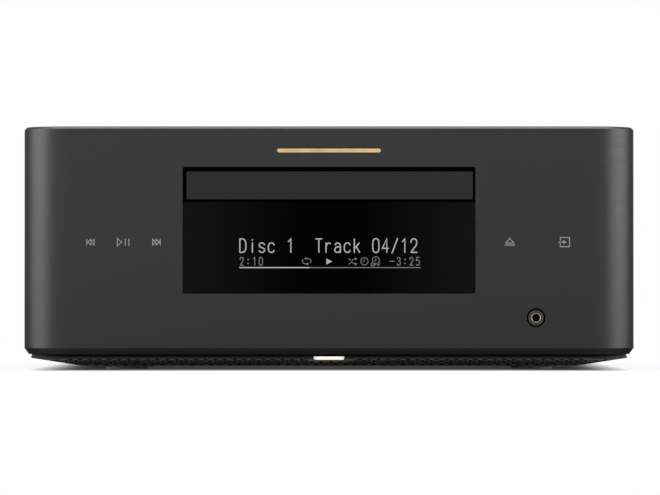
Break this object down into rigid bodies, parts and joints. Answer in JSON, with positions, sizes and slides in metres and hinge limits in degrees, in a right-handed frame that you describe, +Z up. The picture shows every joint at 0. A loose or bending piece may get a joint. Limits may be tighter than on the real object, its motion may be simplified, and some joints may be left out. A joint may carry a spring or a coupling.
{
  "type": "cd receiver",
  "caption": "Low box-shaped disc receiver with rounded front corners, a sliding disc tray above a dark display, a headphone socket and a perforated base, with its loader and boards inside.",
  "frame": {"origin": "on the floor under the middle of the bounding box", "axes": "+Z up, front face towards -Y, +X to the right as seen from the front"},
  "size_m": [0.28, 0.303, 0.111],
  "materials": {
    "anodised_grey": "fine brushed, dark anodised",
    "case_grey": "satin dark grey",
    "gloss_black": "polished acrylic",
    "painted_steel": "matt black paint on sheet",
    "zinc_steel": "zinc plated sheet",
    "dark_steel": "dark perforated sheet",
    "rubber": "moulded rubber",
    "smoked_acrylic": "smoked, polished",
    "green_board": "glass fibre board with solder mask",
    "tan_board": "paper phenolic board",
    "black_plastic": "moulded black",
    "loader_plastic": "moulded, glass filled",
    "tray_plastic": "moulded satin",
    "door_grey": "painted satin grey",
    "white_plastic": "acetal",
    "plated_metal": "nickel plated",
    "gold_trim": "gold plated",
    "brass_parts": "turned brass",
    "lit_lens": "lit diffuser",
    "motor_can": "drawn can",
    "transformer_yellow": "taped winding on core",
    "capacitor_sleeve": "sleeved can",
    "black_aluminium": "black anodised",
    "tin_shield": "tin plated shield",
    "ribbon_white": "flat cable",
    "black_screw": "black oxide",
    "lens_plastic": "coated lens in its holder",
    "cap_black": "moulded black",
    "cap_red": "moulded red"
  },
  "bodies": {
    "case": {"front_panel": "anodised_grey", "cabinet": "case_grey", "top_plate": "gloss_black", "rear_panel": "painted_steel", "chassis": "zinc_steel", "under_tray": "dark_steel", "feet": "rubber", "display_window": "smoked_acrylic", "display_module": "green_board", "display_holder": "black_plastic", "touch_board_left": "green_board", "touch_board_right": "green_board", "headphone_jack": "black_plastic", "jack_sleeve": "plated_metal", "badge_bar": "gold_trim", "light_bar": "lit_lens", "loader_chassis": "loader_plastic", "loading_motor": "motor_can", "drive_belt": "rubber", "clamp_bridge": "zinc_steel", "loader_brackets": "zinc_steel", "main_board": "green_board", "board_components": "black_plastic", "board_standoffs": "brass_parts", "power_board": "tan_board", "transformer": "transformer_yellow", "power_capacitors": "capacitor_sleeve", "heatsink": "black_aluminium", "network_module": "tin_shield", "ribbon_cables": "ribbon_white", "terminal_base": "black_plastic", "post_studs": "gold_trim", "phono_jacks": "plated_metal", "optical_sockets": "black_plastic", "network_jack": "tin_shield", "data_jack": "tin_shield", "mains_inlet": "black_plastic", "antenna_sockets": "gold_trim", "case_screws": "black_screw", "board_screws": "zinc_steel"},
    "tray": {"disc_tray": "tray_plastic", "tray_door": "door_grey"},
    "tray_drive_gear": {"drive_gear": "white_plastic"},
    "pulley_gear": {"pulley_gear": "white_plastic"},
    "motor_pulley": {"motor_pulley": "brass_parts"},
    "cam_slider": {"cam_slider": "white_plastic"},
    "traverse": {"traverse_frame": "loader_plastic", "sled_rails": "plated_metal", "spindle_motor": "motor_can", "sled_motor": "motor_can"},
    "turntable": {"turntable": "black_plastic"},
    "pickup_sled": {"pickup_sled": "loader_plastic"},
    "focus_lens": {"focus_lens": "lens_plastic"},
    "sled_gear": {"sled_gear": "white_plastic"},
    "sled_pinion": {"sled_pinion": "brass_parts"},
    "clamper": {"clamper": "black_plastic"},
    "cap_1": {"post_cap_1": "cap_black"},
    "cap_2": {"post_cap_2": "cap_red"},
    "cap_3": {"post_cap_3": "cap_black"},
    "cap_4": {"post_cap_4": "cap_red"}
  },
  "joints": [
    {"name": "tray_slide", "type": "slide", "parent": "case", "child": "tray", "axis": [0, -1, 0], "range_m": [0, 0.13]},
    {"name": "drive_gear_turn", "type": "hinge", "parent": "case", "child": "tray_drive_gear", "pos_m": [-0.041, -0.1205, 0.077], "axis": [0, 0, 1], "range_deg": [0, 500]},
    {"name": "pulley_turn", "type": "hinge", "parent": "case", "child": "pulley_gear", "pos_m": [-0.01713, -0.12301, 0.07], "axis": [0, 0, 1], "range_deg": [-830, 0]},
    {"name": "motor_pulley_turn", "type": "hinge", "parent": "case", "child": "motor_pulley", "pos_m": [0.02687, -0.12301, 0.07], "axis": [0, 0, 1], "range_deg": [-3320, 0]},
    {"name": "traverse_tilt", "type": "hinge", "parent": "case", "child": "traverse", "pos_m": [0, 0.0105, 0.073], "axis": [1, 0, 0], "range_deg": [0, 5]},
    {"name": "cam_slide", "type": "slide", "parent": "case", "child": "cam_slider", "axis": [1, 0, 0], "range_m": [0, 0.0221]},
    {"name": "turntable_spin", "type": "hinge", "parent": "traverse", "child": "turntable", "pos_m": [0, -0.0815, 0.085], "axis": [0, 0, 1], "continuous": true},
    {"name": "clamper_spin", "type": "hinge", "parent": "case", "child": "clamper", "pos_m": [0, -0.0815, 0.093], "axis": [0, 0, 1], "continuous": true},
    {"name": "sled_slide", "type": "slide", "parent": "traverse", "child": "pickup_sled", "axis": [0, 1, 0], "range_m": [0, 0.035]},
    {"name": "sled_gear_turn", "type": "hinge", "parent": "traverse", "child": "sled_gear", "pos_m": [0.033, -0.0295, 0.076], "axis": [0, 0, 1], "range_deg": [-336, 0]},
    {"name": "sled_pinion_turn", "type": "hinge", "parent": "traverse", "child": "sled_pinion", "pos_m": [0.03825, -0.03859, 0.076], "axis": [0, 0, 1], "range_deg": [0, 447]},
    {"name": "lens_focus", "type": "slide", "parent": "pickup_sled", "child": "focus_lens", "axis": [0, 0, 1], "range_m": [-0.0005, 0.0005], "stiffness_N_per_m": 20},
    {"name": "cap_1_turn", "type": "hinge", "parent": "case", "child": "cap_1", "pos_m": [0.0595, 0.141, 0.034], "axis": [0, 1, 0], "range_deg": [0, 1080]},
    {"name": "cap_2_turn", "type": "hinge", "parent": "case", "child": "cap_2", "pos_m": [0.0785, 0.141, 0.034], "axis": [0, 1, 0], "range_deg": [0, 1080]},
    {"name": "cap_3_turn", "type": "hinge", "parent": "case", "child": "cap_3", "pos_m": [0.0975, 0.141, 0.034], "axis": [0, 1, 0], "range_deg": [0, 1080]},
    {"name": "cap_4_turn", "type": "hinge", "parent": "case", "child": "cap_4", "pos_m": [0.1165, 0.141, 0.034], "axis": [0, 1, 0], "range_deg": [0, 1080]}
  ],
  "couplings": [
    {"joint": "drive_gear_turn", "follows": "tray_slide", "rad_per_m": 66.667},
    {"joint": "pulley_turn", "follows": "tray_slide", "rad_per_m": -111.11},
    {"joint": "motor_pulley_turn", "follows": "tray_slide", "rad_per_m": -444.44},
    {"joint": "cam_slide", "follows": "traverse_tilt", "m_per_rad": 0.2521},
    {"joint": "clamper_spin", "follows": "turntable_spin", "ratio": 1},
    {"joint": "sled_gear_turn", "follows": "sled_slide", "rad_per_m": -166.67},
    {"joint": "sled_pinion_turn", "follows": "sled_slide", "rad_per_m": 222.22}
  ]
}
